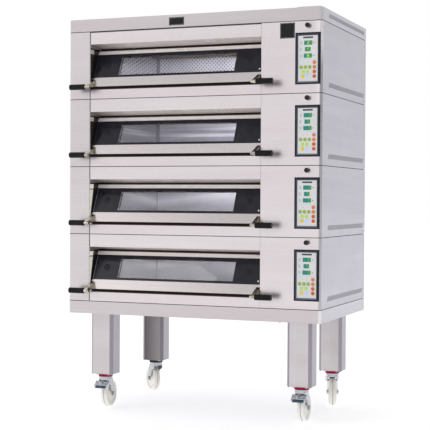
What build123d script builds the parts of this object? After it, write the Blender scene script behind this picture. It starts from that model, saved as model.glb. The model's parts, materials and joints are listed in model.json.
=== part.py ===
from build123d import *
import os
from math import atan2, cos, degrees, hypot, radians, sin, tan

# Four-deck electric bakery oven on a castered stand. Millimetres, +Z up, front faces -Y.
# The origin is on the floor, in the middle of the overall width and depth.

# ------------------------------------------------------------------ driving dimensions
WIDTH = 1418.0            # over the side panels
DEPTH = 840.0             # front plane to rear panel
PITCH = 360.0             # height of one deck
DECKS = 4
CASTER_H = 187.0          # floor to the underside of a leg
LEG_H = 343.0             # visible leg below the plinth
PLINTH_H = 67.0
HOOD_H = 67.0
SHEET = 1.5               # casing sheet
SEAM = 3.0                # visible joint between two decks
CORNER = 13.0             # bevel along the front vertical corners
RETURN = 6.0              # side return of a front sheet behind that bevel
REAR_RETURN = 28.0        # side return of a rear panel

OPEN_LEFT, OPEN_RIGHT = -582.0, 388.0        # door opening between its jambs
SILL_Z, LINTEL_Z = 50.0, 292.0               # lower and upper fascia edges in a deck
SOFFIT_Z, SOFFIT_IN = 277.0, 95.0            # back edge of the sloping soffit

DOOR_FOOT_Z, DOOR_HEAD_Z = 67.0, 265.0       # outer face of the leaning door, in a deck
DOOR_LEAN = 95.0                             # how far its head stands back
DOOR_T = 28.0
DOOR_GAP = 3.0
GLASS_LOW_Z, GLASS_HIGH_Z = 116.0, 246.0
STILE_W = 30.0
HINGE_UP, HINGE_IN, HINGE_R = 12.0, 14.0, 5.0
RUNNING = 0.05                               # radial running clearance of pins and axles

GRIP_OUT, GRIP_Z = 67.0, 60.0                # grip axis in front of the front plane
GRIP_R, GRIP_LEN = 15.0, 88.0
BRACKET_W = 20.0

CHAMBER_W, CHAMBER_TOP = 860.0, 300.0        # inside a liner
LINER = 2.0
STONE_T, STONE_TOP = 20.0, 70.0
SEAL_GAP = 5.0                               # door to liner
FACE_Y, FACE_Z = 126.0, 252.0                # the liner's front is upright above FACE_Z
CHAMBER_BACK = 748.0

BEZEL = (569.0, 701.0, 44.0, 301.0)          # x0, x1 and z0, z1 in a deck
KEYPAD = (582.5, 684.0, 59.0, 286.0)
KNOB_X, KNOB_Z, KNOB_R = 635.0, 336.0, 12.0
KNOB_OUT = 20.0

LEG_W, LEG_D, LEG_BEVEL, LEG_WALL = 132.0, 110.0, 16.0, 2.5
FRONT_LEG = (563.0, 160.0)                   # axis: half spacing, distance behind the front plane
REAR_LEG = (545.0, 781.0)

WHEEL_R = 75.0
# half of the wheel's section, from the hub to the tread: radius, half width
WHEEL_SECTION = [(19.0, 22.0), (22.0, 13.0), (54.0, 11.0), (59.0, 18.0), (66.0, 20.0),
                 (71.5, 16.0), (WHEEL_R, 8.0)]
TRAIL = 45.0                                 # axle behind the swivel axis
AXLE_R = 6.0
# caster name: (side, which leg, direction in which the wheel trails, has a brake)
CASTERS = {"fl": (-1, FRONT_LEG, 94.0, True), "fr": (1, FRONT_LEG, 92.0, True),
           "rl": (-1, REAR_LEG, 137.0, False), "rr": (1, REAR_LEG, -72.0, True)}

GLAND_X, GLAND_Z, GLAND_R, GLAND_OUT = 560.0, 60.0, 14.0, 12.0
FLUE = (645.0, 701.0, 697.0, 753.0)          # x0, x1 and distances behind the front plane
FLUE_UP = 3.0                                # rim above the roof

# ------------------------------------------------------------------ worked out from them
HALF = WIDTH / 2
REACH = GRIP_OUT + GRIP_R                    # the grips, ahead of the front plane
SWUNG = radians(CASTERS["rl"][2])
TREAD_BACK = max(r * sin(SWUNG) - half * cos(SWUNG) for r, half in WHEEL_SECTION)
TAIL = REAR_LEG[1] + TRAIL * sin(SWUNG) + TREAD_BACK     # the rear left wheel, behind the front plane
FRONT = (REACH - TAIL) / 2
REAR = FRONT + DEPTH
STAND_TOP = CASTER_H + LEG_H
BASE_Z = STAND_TOP + PLINTH_H
HOOD_Z = BASE_Z + DECKS * PITCH
ROOF_Z = HOOD_Z + HOOD_H
RISE = DOOR_HEAD_Z - DOOR_FOOT_Z
LEAN = atan2(DOOR_LEAN, RISE)
LEAF_L = hypot(DOOR_LEAN, RISE)
CENTRE_X = (OPEN_LEFT + OPEN_RIGHT) / 2
LINER_X = (CENTRE_X - CHAMBER_W / 2, CENTRE_X + CHAMBER_W / 2)
SIDE_START = FRONT + CORNER + RETURN + 0.5
SIDE_END = REAR - REAR_RETURN - 0.5


# ------------------------------------------------------------------ helpers
def block(x0, x1, y0, y1, z0, z1):
    """A box between two corners."""
    return Pos((x0 + x1) / 2, (y0 + y1) / 2, (z0 + z1) / 2) * Box(x1 - x0, y1 - y0, z1 - z0)


def outline(points):
    return make_face(Polyline(*points, close=True))


def prism_z(points, z0, z1):
    """An (x, y) outline raised from z0 to z1."""
    return extrude(Plane.XY.offset(z0) * outline(points), z1 - z0)


def prism_x(points, x0, x1):
    """A (y, z) outline drawn out from x0 to x1."""
    return extrude(Plane.YZ.offset(x0) * outline(points), x1 - x0)


def prism_y(points, y0, y1):
    """An (x, z) outline drawn out from y0 to y1."""
    return extrude(Plane.XZ.offset(-y1) * outline(points), y1 - y0)


def rod_x(x0, x1, y, z, r):
    return Pos((x0 + x1) / 2, y, z) * Rot(0, 90, 0) * Cylinder(r, x1 - x0)


def rod_y(x, y0, y1, z, r):
    return Pos(x, (y0 + y1) / 2, z) * Rot(90, 0, 0) * Cylinder(r, y1 - y0)


def rod_z(x, y, z0, z1, r):
    return Pos(x, y, (z0 + z1) / 2) * Cylinder(r, z1 - z0)


def per_deck(pieces):
    """The pieces of the lowest deck, repeated at every deck."""
    return [Pos(0, 0, deck * PITCH) * piece for deck in range(DECKS) for piece in pieces]


def mirrored(pieces):
    return [mirror(piece, about=Plane.YZ) for piece in pieces]


def save(name, pieces):
    solids = [solid for piece in pieces for solid in piece.solids()]
    export_step(Compound(label=name, children=solids), f"parts/{name}.step")


# ------------------------------------------------------------------ casing
def corner_sheet(x_inner, z0, z1):
    """Front sheet from x_inner to the right corner, with its bevel and short side return."""
    miter = SHEET * tan(radians(22.5))
    end = FRONT + CORNER + RETURN
    return prism_z([(x_inner, FRONT), (HALF - CORNER, FRONT), (HALF, FRONT + CORNER), (HALF, end),
                    (HALF - SHEET, end), (HALF - SHEET, FRONT + CORNER + miter),
                    (HALF - CORNER - miter, FRONT + SHEET), (x_inner, FRONT + SHEET)], z0, z1)


def band(z0, z1):
    """The four sheets of the hood or of the plinth: front, two sides and rear."""
    half_front = corner_sheet(0, z0, z1)
    front = half_front + mirror(half_front, about=Plane.YZ)
    right = block(HALF - SHEET, HALF, SIDE_START, SIDE_END, z0, z1)
    return [front, right, *mirrored([right]), rear_sheet(z0, z1)]


def rear_sheet(z0, z1):
    """Rear panel with its two side returns."""
    y = REAR - REAR_RETURN
    return prism_z([(-HALF, y), (-HALF, REAR), (HALF, REAR), (HALF, y), (HALF - SHEET, y),
                    (HALF - SHEET, REAR - SHEET), (SHEET - HALF, REAR - SHEET), (SHEET - HALF, y)], z0, z1)


def deck_plan(z0, z1):
    """A sheet that fills the plan of the body inside its casing."""
    x, y, bevel = HALF - SHEET, FRONT + SHEET, CORNER + 1.0
    back = REAR - SHEET
    return prism_z([(-x, y + bevel), (bevel - x, y), (x - bevel, y), (x, y + bevel),
                    (x, back), (-x, back)], z0, z1)


def slots(z0, z1, pitch=12.0, width=5.0, slant=9.0):
    """Cutter for one row of slanted ventilation slots through the right side."""
    first, last = FRONT + 112, FRONT + 800
    count = int((last - first - slant - width) // pitch) + 1
    faces = Sketch() + [outline([(y, z0), (y + width, z0), (y + width + slant, z1), (y + slant, z1)])
                        for y in (first + i * pitch for i in range(count))]
    return extrude(Plane.YZ.offset(HALF - 5) * faces, 10)


def side_panels():
    panel = block(HALF - SHEET, HALF, SIDE_START, SIDE_END, SEAM / 2, PITCH - SEAM / 2)
    panel = Pos(0, 0, BASE_Z) * (panel - slots(36, 60))
    return per_deck([panel, *mirrored([panel])])


def rear_panels():
    panels = per_deck([rear_sheet(BASE_Z + SEAM / 2, BASE_Z + PITCH - SEAM / 2)])
    hole = rod_y(GLAND_X, REAR - 5, REAR + 5, BASE_Z + GLAND_Z, GLAND_R + 3.2)
    return [panels[0] - hole, *panels[1:]]


def flue_cut(z0, z1):
    x0, x1, y0, y1 = FLUE
    return block(x0, x1, FRONT + y0, FRONT + y1, z0, z1)


def deck_trays():
    z = BASE_Z + SEAM / 2
    lowest, *others = per_deck([deck_plan(z, z + SHEET)])
    return [lowest, *[tray - flue_cut(BASE_Z, ROOF_Z) for tray in others]]


def deck_front():
    """Left cover, lower and upper fascia, right control column and the two jambs of deck 1."""
    z0, z1 = BASE_Z + SEAM / 2, BASE_Z + PITCH - SEAM / 2
    gap = 5.0
    left_cover = mirror(corner_sheet(-OPEN_LEFT + gap / 2, z0, z1), about=Plane.YZ)
    column = corner_sheet(OPEN_RIGHT + 1, z0, z1)
    x0, x1, bz0, bz1 = BEZEL
    column -= block(x0 + 5, x1 - 5, FRONT - 5, FRONT + 5, BASE_Z + bz0 + 4, BASE_Z + bz1 - 4)
    column -= rod_y(KNOB_X, FRONT - 5, FRONT + 5, BASE_Z + KNOB_Z, 5.3)

    y, back = FRONT, FRONT + 44
    sill = BASE_Z + SILL_Z
    lower = prism_x([(y, z0), (y, sill), (back, sill), (back, sill - SHEET), (y + SHEET, sill - SHEET),
                     (y + SHEET, z0)], OPEN_LEFT + gap / 2, OPEN_RIGHT)
    lintel, soffit = BASE_Z + LINTEL_Z, BASE_Z + SOFFIT_Z
    y1 = FRONT + SOFFIT_IN
    upper = prism_x([(y, z1), (y, lintel), (y1, soffit), (y1, soffit + SHEET),
                     (y + SHEET, lintel + SHEET), (y + SHEET, z1)], OPEN_LEFT + gap / 2, OPEN_RIGHT)
    jambs = [block(x, x + SHEET, FRONT + SHEET, FRONT + 130, sill, lintel)
             for x in (OPEN_LEFT - SHEET, OPEN_RIGHT)]
    axis_y, axis_z = hinge_point()
    bores = rod_x(OPEN_LEFT - 5, OPEN_RIGHT + 5, axis_y, axis_z, HINGE_R)
    return [left_cover, lower, upper, column, *[jamb - bores for jamb in jambs]]


def hood():
    top = deck_plan(ROOF_Z - SHEET, ROOF_Z)
    edge = band(HOOD_Z + SEAM / 2, ROOF_Z - SHEET)
    rows = slots(HOOD_Z + 26, HOOD_Z + 46)
    front, right, left, rear = edge
    rim = prism_z([(HALF, FRONT + CORNER), (HALF - CORNER, FRONT), (CORNER - HALF, FRONT),
                   (-HALF, FRONT + CORNER), (-HALF, REAR), (HALF, REAR)], ROOF_Z - SHEET, ROOF_Z)
    return [front, right - rows, left - mirror(rows, about=Plane.YZ), rear,
            rim + top - flue_cut(ROOF_Z - 5, ROOF_Z + 5)]


def roof_vent():
    """Low cowl over the control side, open below, with slots in its front."""
    x0, x1, y0, y1 = 546.0, 668.0, FRONT + 100, FRONT + 220
    height, wall = 20.0, 1.5
    cowl = block(x0, x1, y0, y1, ROOF_Z, ROOF_Z + height)
    cowl -= block(x0 + wall, x1 - wall, y0 + wall, y1 - wall, ROOF_Z - 1, ROOF_Z + height - wall)
    for z in (5.0, 10.0):
        cowl -= block(x0 + 10, x1 - 10, y0 - 1, y0 + 3, ROOF_Z + z, ROOF_Z + z + 2)
    return [cowl]


def base_plinth():
    plate = deck_plan(BASE_Z - SHEET, BASE_Z)
    x = HALF - SHEET - 1
    beams = [block(-x, x, FRONT + y, FRONT + y + 40, BASE_Z - 41.5, BASE_Z - SHEET) for y in (60.0, 420.0)]
    return [*band(STAND_TOP, BASE_Z - SHEET), plate, *beams]


def cable_gland():
    """Conduit gland for the supply cable, through the rear panel of the lowest deck."""
    z, body_r = BASE_Z + GLAND_Z, GLAND_R + 3
    flange = Pos(GLAND_X, REAR, z) * Rot(-90, 0, 0) * extrude(RegularPolygon(GLAND_R + 10, 6), GLAND_OUT)
    barrel = rod_y(GLAND_X, REAR - 12, REAR, z, body_r)
    return [flange + barrel - rod_y(GLAND_X, REAR - 20, REAR + 20, z, GLAND_R)]


def nameplates():
    """Two blank plates: one on the hood, one beside the top control column."""
    hood_plate = block(-122, -38, FRONT - 1.2, FRONT, HOOD_Z + 12, HOOD_Z + 53)
    deck_z = HOOD_Z - PITCH
    data_plate = block(488, 565, FRONT - 1.0, FRONT, deck_z + 276, deck_z + 353)
    return [hood_plate, data_plate]


# ------------------------------------------------------------------ doors
def on_door(piece):
    """From the leaf's own frame (x, depth inward, height up its face) to deck 1."""
    return Pos(0, FRONT, BASE_Z + DOOR_FOOT_Z) * Rot(-degrees(LEAN), 0, 0) * piece


def hinge_point():
    """Hinge axis of deck 1's door, in y and z."""
    up, inward = LEAF_L - HINGE_UP, HINGE_IN
    return (FRONT + inward * cos(LEAN) + up * sin(LEAN),
            BASE_Z + DOOR_FOOT_Z - inward * sin(LEAN) + up * cos(LEAN))


LEAF_X = (OPEN_LEFT + DOOR_GAP, OPEN_RIGHT - DOOR_GAP)
GLASS_LOW = (GLASS_LOW_Z - DOOR_FOOT_Z) / cos(LEAN)
GLASS_HIGH = (GLASS_HIGH_Z - DOOR_FOOT_Z) / cos(LEAN)


def door_frame():
    x0, x1 = LEAF_X
    foot_rail = block(x0, x1, 0, DOOR_T, 0, GLASS_LOW)
    head_rail = block(x0, x1, 0, DOOR_T, GLASS_HIGH, LEAF_L)
    head_rail -= rod_x(x0 - 1, x0 + 27, HINGE_IN, LEAF_L - HINGE_UP, HINGE_R + RUNNING)
    head_rail -= rod_x(x1 - 27, x1 + 1, HINGE_IN, LEAF_L - HINGE_UP, HINGE_R + RUNNING)
    stiles = [block(x, x + STILE_W, 7, DOOR_T, GLASS_LOW, GLASS_HIGH) for x in (x0, x1 - STILE_W)]
    return [on_door(piece) for piece in (foot_rail, head_rail, *stiles)]


def door_glass():
    x0, x1 = LEAF_X
    slack = 0.3
    outer = block(x0, x1, 0.8, 6.8, GLASS_LOW + slack, GLASS_HIGH - slack)
    inner = block(x0 + STILE_W + slack, x1 - STILE_W - slack, 20, 24, GLASS_LOW + slack, GLASS_HIGH - slack)
    return [on_door(outer), on_door(inner)]


def face_point(up, out):
    """A point on or in front of deck 1's door face, in y and z."""
    return (FRONT + up * sin(LEAN) - out * cos(LEAN),
            BASE_Z + DOOR_FOOT_Z + up * cos(LEAN) + out * sin(LEAN))


def door_brackets():
    """Bent arms from the door's foot rail down and out to the grips, with their grip bolts."""
    arm_t = 3.0
    y, z = FRONT - GRIP_OUT, BASE_Z + GRIP_Z
    low, high = face_point(5, 0), face_point(40, 0)
    low_out, high_out = face_point(5, arm_t), face_point(40, arm_t)
    x1 = LEAF_X[1]
    x0 = x1 - BRACKET_W
    foot = prism_x([low, high, high_out, low_out], x0 - 4, x1)
    web = prism_x([low_out, high_out, (y, z + 8), (y - 5, z), (y, z - 6)], x0, x0 + arm_t)
    arm = prism_x([high_out, face_point(36, arm_t), (y + 2, z + 5), (y - 1, z + 9)], x0, x1)
    eye = rod_x(x0, x1, y, z, 9)
    right = foot + web + arm + eye
    right = right - rod_x(x0 - 1, x1 + 1, y, z, 4)
    bolt = rod_x(x0 - 7, x0, y, z, 7.5) + rod_x(x0, x1 + 40, y, z, 4)
    pieces = [right, bolt]
    return pieces + [mirror(piece, about=Plane.YZ.offset(CENTRE_X)) for piece in pieces]


def door_grips():
    """Round black grips, each outboard of its bracket."""
    y, z = FRONT - GRIP_OUT, BASE_Z + GRIP_Z
    x0 = LEAF_X[1]
    grip = rod_x(x0, x0 + GRIP_LEN, y, z, GRIP_R)
    grip = fillet(grip.edges().filter_by(GeomType.CIRCLE), 3.0)
    grip -= rod_x(x0 - 1, x0 + 40, y, z, 4)
    return [grip, mirror(grip, about=Plane.YZ.offset(CENTRE_X))]


def hinge_pins():
    """Headed pins through the jambs into the bores of the head rails."""
    y, z = hinge_point()
    head = OPEN_RIGHT + SHEET
    pin = rod_x(head - 27, head, y, z, HINGE_R) + rod_x(head, head + 3, y, z, 8)
    return per_deck([pin, mirror(pin, about=Plane.YZ.offset(CENTRE_X))])


def sill_seals():
    """Black strips on the sills, under the door's foot."""
    z = BASE_Z + SILL_Z
    return per_deck([block(OPEN_LEFT + 3, OPEN_RIGHT - 1, FRONT + 4, FRONT + 26, z, z + 3.5)])


# ------------------------------------------------------------------ baking chambers
ELEMENT_Y = (190.0, 380.0, 570.0)
ELEMENT_STEP, ELEMENT_R = 80.0, 4.0
TOP_ELEMENT_Z, LOW_ELEMENT_Z = 284.0, 32.0
DUCT_Y = (703.0, 747.0)
DUCT_Z = (314.0, 354.0)
RISER_X = (270.0, 320.0)


def liner_front(z):
    """Front edge of the liner at a height in the deck, parallel to the door's inner face."""
    inner_y = DOOR_T * cos(LEAN) + SEAL_GAP / cos(LEAN)
    inner_z = DOOR_FOOT_Z - DOOR_T * sin(LEAN)
    return FRONT + inner_y + (z - inner_z) * tan(LEAN)


def baking_chambers():
    """Liner of each chamber, the face plates beside it, and the hearth's nose and rails."""
    x0, x1 = LINER_X
    z0, knee, z1 = BASE_Z + SILL_Z, BASE_Z + FACE_Z, BASE_Z + CHAMBER_TOP
    top = z1 + LINER
    face, back = FRONT + FACE_Y, FRONT + CHAMBER_BACK
    edge = [(liner_front(SILL_Z), z0), (liner_front(FACE_Z), knee), (face, knee), (face, top)]
    wall = [*edge, (back, top), (back, z0)]
    left = prism_x(wall, x0 - LINER, x0)
    right = prism_x(wall, x1, x1 + LINER)
    for y in ELEMENT_Y:
        for leg in (y, y + ELEMENT_STEP):
            right -= rod_x(x1 - 1, x1 + LINER + 1, FRONT + leg, BASE_Z + TOP_ELEMENT_Z, ELEMENT_R + 1)
    cheek = edge + [(y + LINER, z) for y, z in reversed(edge)]
    cheeks = [prism_x(cheek, OPEN_LEFT + 1, x0 - LINER), prism_x(cheek, x1 + LINER, OPEN_RIGHT - 1)]
    roof = block(x0, x1, face + LINER, back, z1, top)
    vent_y0, vent_y1 = FRONT + DUCT_Y[0] + 2, FRONT + DUCT_Y[1] - 2
    roof -= block(RISER_X[0] + 2, RISER_X[1] - 2, vent_y0, vent_y1, z1 - 1, top + 1)
    rear = block(x0 - LINER, x1 + LINER, back, back + LINER, z0, top)
    lintel = block(x0, x1, face, face + LINER, knee, BASE_Z + 345)
    nose = block(x0, x1, FRONT + 39, FRONT + 45, z0, BASE_Z + STONE_TOP)
    rails = [block(x, x + 20, FRONT + 46, back, z0 - 6, z0) for x in (x0, CENTRE_X - 10, x1 - 20)]
    return per_deck([left, right, *cheeks, roof, rear, lintel, nose, *rails])


def hearth_stones():
    x0, x1 = LINER_X
    joint = 0.5
    z0, z1 = BASE_Z + STONE_TOP - STONE_T, BASE_Z + STONE_TOP
    return per_deck([block(a + joint, b - joint, FRONT + 46, FRONT + CHAMBER_BACK - 2, z0, z1)
                     for a, b in ((x0, CENTRE_X), (CENTRE_X, x1))])


def heating_elements():
    """Hairpin elements over and under each hearth, with their ends past the right liner."""
    x0, x1 = LINER_X[0] + 33, LINER_X[1] + 27
    hairpins = []
    for level in (LOW_ELEMENT_Z, TOP_ELEMENT_Z):
        for y in ELEMENT_Y:
            y0, y1, z = FRONT + y, FRONT + y + ELEMENT_STEP, BASE_Z + level
            path = FilletPolyline((x1, y0, z), (x0, y0, z), (x0, y1, z), (x1, y1, z), radius=30)
            section = Plane(origin=(x1, y0, z), z_dir=(-1, 0, 0)) * Circle(ELEMENT_R)
            hairpins.append(sweep(section, path=path))
    return per_deck(hairpins)


def insulation():
    """Mineral wool blocks around each chamber, cut short where the vent duct passes."""
    x0, x1 = LINER_X
    slack = LINER + 1
    y0, y1 = FRONT + FACE_Y + 10, FRONT + 820
    z0, z1 = BASE_Z + 5, BASE_Z + 345
    back = FRONT + CHAMBER_BACK
    duct = FRONT + DUCT_Y[0] - 2
    over = BASE_Z + CHAMBER_TOP + slack
    return per_deck([block(OPEN_LEFT - 57, x0 - slack, y0, y1, z0, z1),
                     block(x1 + 30, x1 + 110, y0, duct, z0, z1),
                     block(x0 + 1, RISER_X[0] - 2, y0, back - 2, over, z1),
                     block(RISER_X[0] - 1, x1 - 1, y0, duct, over, z1),
                     block(x0 + 1, x1 - 1, back + slack, y1, z0, z1),
                     block(x0 + 1, x1 - 1, FRONT + 46, back - 2, z0, BASE_Z + 24)])


def exhaust_flue():
    """Vent duct from each chamber's roof to one flue, which ends in a low rim on the roof."""
    x0, x1, y0, y1 = FLUE
    y0, y1 = FRONT + y0, FRONT + y1
    z0, z1 = BASE_Z + 300, ROOF_Z + FLUE_UP
    front = block(x0, x1, y0, y0 + SHEET, z0, z1)
    rear = block(x0, x1, y1 - SHEET, y1, z0, z1)
    left = block(x0, x0 + SHEET, y0 + SHEET, y1 - SHEET, z0, z1)
    right = block(x1 - SHEET, x1, y0 + SHEET, y1 - SHEET, z0, z1)
    duct_y0, duct_y1 = FRONT + DUCT_Y[0], FRONT + DUCT_Y[1]
    duct_z0, duct_z1 = BASE_Z + DUCT_Z[0], BASE_Z + DUCT_Z[1]
    inner_y0, inner_y1 = duct_y0 + SHEET, duct_y1 - SHEET
    inner_z0, inner_z1 = duct_z0 + SHEET, duct_z1 - SHEET
    for mouth in per_deck([block(x0 - 1, x0 + 3, inner_y0, inner_y1, inner_z0, inner_z1)]):
        left -= mouth
    roof_z = BASE_Z + CHAMBER_TOP + LINER
    riser_x0, riser_x1 = RISER_X
    duct = block(riser_x0, riser_x1, duct_y0, duct_y1, roof_z, duct_z1)
    duct += block(riser_x0, x0, duct_y0, duct_y1, duct_z0, duct_z1)
    duct -= block(riser_x0 + SHEET, riser_x1 - SHEET, inner_y0, inner_y1, roof_z - 1, inner_z1)
    duct -= block(riser_x0 + SHEET, x0 + 1, inner_y0, inner_y1, inner_z0, inner_z1)
    duct -= block(KNOB_X - 5, KNOB_X + 5, duct_y0 - 1, duct_y0 + 3, inner_z0, inner_z1)
    return [front, rear, left, right, *per_deck([duct])]


# ------------------------------------------------------------------ controls
def control_bezel():
    """Black frame with a bevelled inner edge, standing 3 mm proud of the column."""
    x0, x1, z0, z1 = BEZEL
    k0, k1, m0, m1 = KEYPAD
    z0, z1, m0, m1 = (BASE_Z + z for z in (z0, z1, m0, m1))
    proud, seat = 3.0, 3.0
    frame = block(x0, x1, FRONT - proud, FRONT, z0, z1)
    frame += block(x0 + 5.5, x1 - 5.5, FRONT, FRONT + 12, z0 + 4.5, z1 - 4.5)
    centre = ((k0 + k1) / 2, (m0 + m1) / 2)
    plane = Plane.XZ.offset(-(FRONT - proud))
    mouth = plane * Pos(*centre) * Rectangle(k1 - k0 + 12, m1 - m0 + 14)
    throat = Plane.XZ.offset(-(FRONT + seat)) * Pos(*centre) * Rectangle(k1 - k0, m1 - m0)
    frame -= loft([throat, mouth])
    frame -= block(k0 - 2, k1 + 2, FRONT + seat, FRONT + 20, m0 - 2, m1 + 2)
    return [frame]


def keypad_overlays():
    k0, k1, m0, m1 = KEYPAD
    return per_deck([block(k0 - 2, k1 + 2, FRONT + 3, FRONT + 4, BASE_Z + m0 - 2, BASE_Z + m1 + 2)])


def control_boards():
    """Display board behind each keypad and the power module behind it."""
    k0, k1, m0, m1 = KEYPAD
    board = block(k0 - 2, k1 + 2, FRONT + 4, FRONT + 5.6, BASE_Z + m0 - 2, BASE_Z + m1 + 2)
    module = block(480, 560, FRONT + 60, FRONT + 220, BASE_Z + 8, BASE_Z + 160)
    return per_deck([board, module])


def damper_knob():
    """Pull knob, its rod, and the gate plate that closes the vent duct."""
    z = BASE_Z + KNOB_Z
    knob = rod_y(KNOB_X, FRONT - KNOB_OUT, FRONT - 2, z, KNOB_R)
    knob = fillet(knob.edges().filter_by(GeomType.CIRCLE).sort_by(Axis.Y)[0], 3.0)
    knob -= rod_y(KNOB_X, FRONT - 10, FRONT, z, 4)
    gate = block(KNOB_X - 1, KNOB_X + 1, FRONT + DUCT_Y[0] + 2.5, FRONT + DUCT_Y[1] - 2,
                 BASE_Z + DUCT_Z[0] + 2.5, BASE_Z + DUCT_Z[1] - 2.5)
    rod = rod_y(KNOB_X, FRONT - 10, FRONT + DUCT_Y[0] + 2.5, z, 4)
    return [knob, rod, gate]


# ------------------------------------------------------------------ stand
def legs():
    """Four formed columns with bevelled edges and rounded lower corners."""
    def section(width, depth, bevel):
        x, y = width / 2, depth / 2
        return [(-x, bevel - y), (bevel - x, -y), (x - bevel, -y), (x, bevel - y),
                (x, y - bevel), (x - bevel, y), (bevel - x, y), (-x, y - bevel)]
    z0, z1, corner = CASTER_H, BASE_Z - 43, 10.0
    inner = [LEG_W - 2 * LEG_WALL, LEG_D - 2 * LEG_WALL, LEG_BEVEL - LEG_WALL * 0.6]
    tube = prism_z(section(LEG_W, LEG_D, LEG_BEVEL), z0, z1) - prism_z(section(*inner), z0 - 1, z1 + 1)
    height = z1 - z0 + 40
    middle = Pos(0, z0 + height / 2)
    trim_x = extrude(Plane.XZ.offset(-LEG_D) * middle * RectangleRounded(LEG_W, height, corner), 2 * LEG_D)
    trim_y = extrude(Plane.YZ.offset(-LEG_W) * middle * RectangleRounded(LEG_D, height, corner), 2 * LEG_W)
    tube = tube & trim_x & trim_y
    cap = prism_z(section(*inner), z0 + 8, z0 + 14)
    return [Pos(side * x, FRONT + y) * piece
            for side, (x, y), _, _ in CASTERS.values() for piece in (tube, cap)]


def on_caster(name, piece):
    """From a caster's own frame (swivel axis on Z, wheel trailing to +X) to its leg."""
    side, (x, y), trail_angle, _ = CASTERS[name]
    return Pos(side * x, FRONT + y) * Rot(0, 0, trail_angle) * piece


def caster_heads():
    """Top plates and kingpins, fixed under the legs."""
    plate = block(-40, 40, -40, 40, CASTER_H + 3, CASTER_H + 8) + rod_z(0, 0, CASTER_H, CASTER_H + 3, 30)
    kingpin = rod_z(0, 0, 152, CASTER_H, 10) + rod_z(0, 0, 148, 152, 15)
    return [Pos(side * x, FRONT + y) * piece for side, (x, y), _, _ in CASTERS.values()
            for piece in (plate, kingpin)]


def swivel_seals():
    ring = rod_z(0, 0, CASTER_H - 13, CASTER_H, 39) - rod_z(0, 0, CASTER_H - 14, CASTER_H + 1, 12)
    return [Pos(side * x, FRONT + y) * ring for side, (x, y), _, _ in CASTERS.values()]


def caster_fork():
    """Pressed fork with its axle bolt."""
    inside, sheet = 23.5, 4.0
    crown_top = CASTER_H - 13.4
    crown = rod_z(0, 0, crown_top - 12, crown_top, 36)
    crown += block(-33, 36, -inside - sheet, inside + sheet, crown_top - 18, crown_top - 10)
    leg = [(-33, crown_top - 10), (36, crown_top - 10), (46, 128), (61, 82), (56, 62), (36, 60), (29, 74),
           (4, 124), (-33, 140)]
    cheek = prism_y(leg, inside, inside + sheet)
    fork = crown + cheek + mirror(cheek, about=Plane.XZ)
    fork -= rod_z(0, 0, 140, CASTER_H, 10 + RUNNING)
    fork -= rod_z(0, 0, 140, crown_top - 17.5, 16)
    axle = rod_y(TRAIL, -inside - sheet, inside + sheet, WHEEL_R, AXLE_R)
    fork -= axle
    fork -= rod_y(-24, -40, 40, 148, 3)
    nut_face = Plane.XZ.offset(-(inside + sheet + 6)) * Pos(TRAIL, WHEEL_R)
    hexagon = extrude(nut_face * RegularPolygon(11, 6), 6)
    return [fork, axle + hexagon + mirror(hexagon, about=Plane.XZ)]


def caster_wheel():
    """Solid nylon wheel with a rounded tread and dished sides."""
    bore = AXLE_R + RUNNING
    profile = [(bore, WHEEL_SECTION[0][1]), *WHEEL_SECTION]
    other = [(r, -y) for r, y in reversed(profile)]
    wheel = revolve(outline(profile + other), axis=Axis.Y)
    return [Pos(TRAIL, 0, WHEEL_R) * wheel]


def caster_brake():
    """Foot pedal with its pivot pin and brake shoe, ahead of the wheel."""
    side = [(-24, 152), (-27, 144), (-46, 136), (-72, 128), (-74, 132), (-50, 142), (-34, 152)]
    pedal = prism_y(side, -22, 22)
    shoe = prism_y([(-27, 145), (-20, 145), (-16, 138), (-24, 136), (-33, 140)], -14, 14)
    pedal = pedal + shoe + rod_y(-24, -22, 22, 148, 6) - rod_y(-24, -30, 30, 148, 3 + RUNNING)
    return [pedal]


def brake_pins():
    """Pivot pin of a brake pedal, fixed in its fork."""
    return [rod_y(-24, -29, 29, 148, 3)]


def screws():
    """Pan-head screws of the side panels, bolts of the caster plates, and an earth stud."""
    side = [rod_x(HALF, HALF + 1.2, FRONT + y, BASE_Z + z, 4.5)
            for y in (32.0, 800.0) for z in (18.0, 324.0)]
    bolts = [Pos(s * x, FRONT + y) * rod_z(a, b, CASTER_H - 2, CASTER_H + 3, 5.5)
             for s, (x, y), _, _ in CASTERS.values() for a in (-34, 34) for b in (-34, 34)]
    stud = rod_z(484, FRONT + 30, STAND_TOP - 6, BASE_Z - SHEET, 5)
    return per_deck(side + mirrored(side)) + bolts + [stud]


# ------------------------------------------------------------------ write one file per node
os.makedirs("parts", exist_ok=True)

for maker in (side_panels, rear_panels, deck_trays, hood, roof_vent, base_plinth, cable_gland, nameplates,
              hinge_pins, sill_seals, baking_chambers, hearth_stones, heating_elements, insulation,
              exhaust_flue, keypad_overlays, control_boards, legs, caster_heads, swivel_seals, screws):
    save(maker.__name__, maker())

for maker in (deck_front, control_bezel, door_frame, door_glass, door_brackets, door_grips, damper_knob):
    made = maker()
    for deck in range(DECKS):
        save(f"{maker.__name__}_{deck + 1}", [Pos(0, 0, deck * PITCH) * piece for piece in made])

for caster, (_, _, _, braked) in CASTERS.items():
    fork_pieces = caster_fork() + (brake_pins() if braked else [])
    save(f"caster_fork_{caster}", [on_caster(caster, piece) for piece in fork_pieces])
    save(f"caster_wheel_{caster}", [on_caster(caster, piece) for piece in caster_wheel()])
    if braked:
        save(f"caster_brake_{caster}", [on_caster(caster, piece) for piece in caster_brake()])
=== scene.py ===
import json
from functools import partial
from math import atan2, cos, hypot, pi, radians, sin, tau

import bmesh
import bpy
from mathutils import Matrix, Vector


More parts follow.
